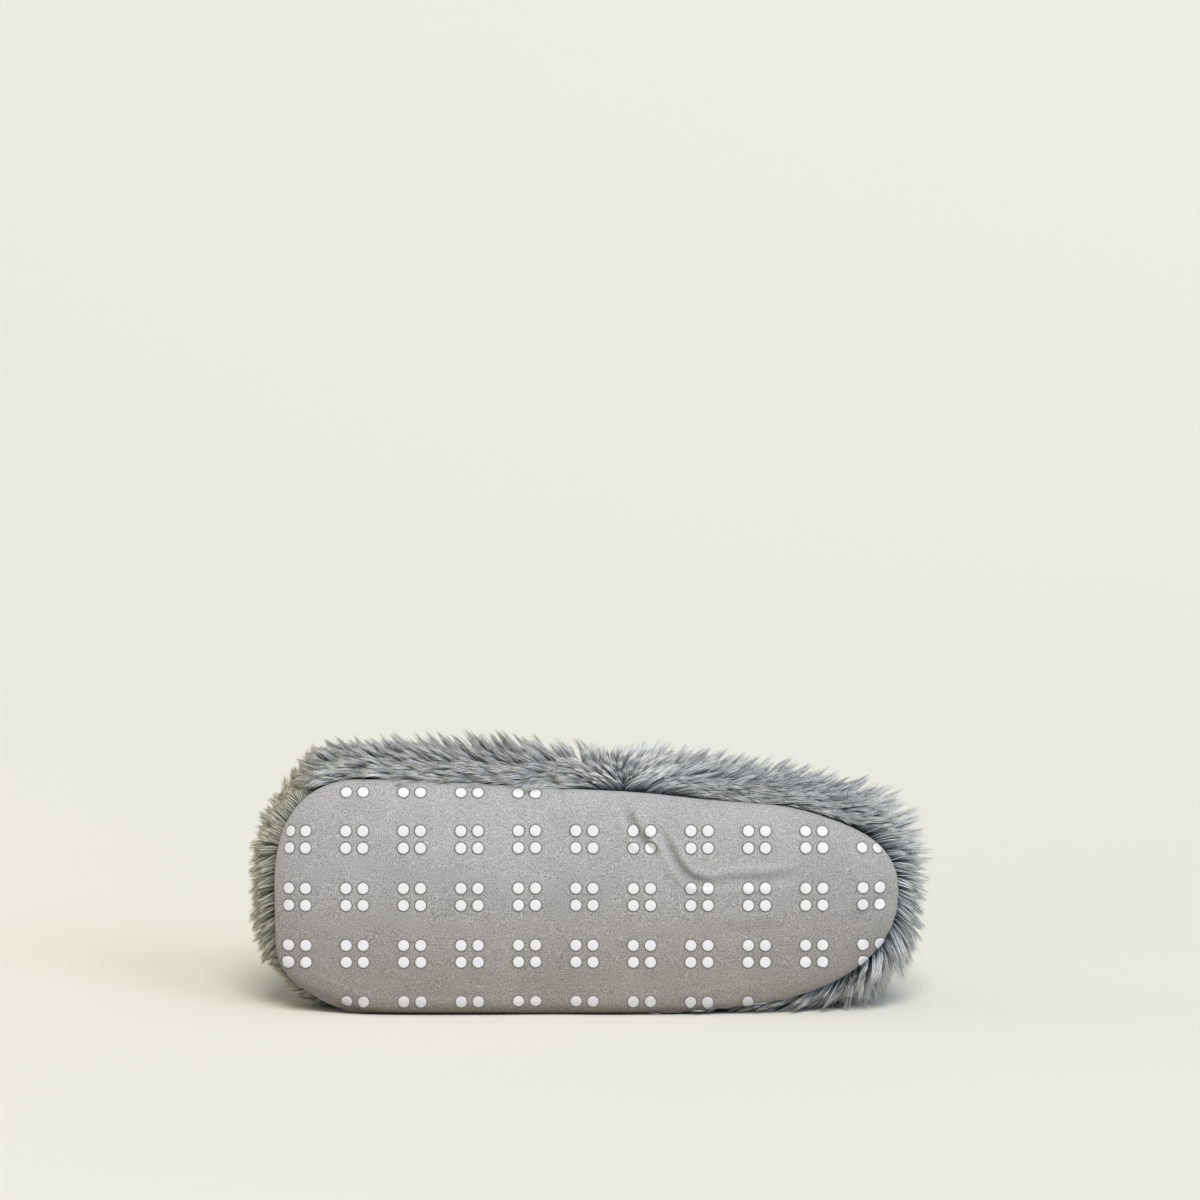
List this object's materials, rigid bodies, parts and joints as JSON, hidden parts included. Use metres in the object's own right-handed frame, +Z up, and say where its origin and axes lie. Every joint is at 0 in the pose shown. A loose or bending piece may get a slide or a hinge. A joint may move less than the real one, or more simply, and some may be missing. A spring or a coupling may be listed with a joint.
{
  "type": "slipper",
  "caption": "Closed-back plush slipper with a deep grey fur upper, an open collar and a soft padded suede sole with raised white grips, lying on its inner side.",
  "frame": {"origin": "on the floor, under the middle of the lying slipper's box", "axes": "+X from the heel to the toe, +Y from the tread to the collar, +Z up, with the outer side of the foot upwards"},
  "size_m": [0.294, 0.0884, 0.1136],
  "materials": {
    "suede": "warm grey brushed microsuede with a short nap",
    "plush": "short pale grey plush",
    "fur": "long blue-grey faux fur pile, dark at the roots",
    "lining": "short pale grey plush lining",
    "grip": "white raised print, matt"
  },
  "bodies": {
    "root": {"sole": "suede", "insole": "plush", "upper": "fur"}
  },
  "joints": []
}
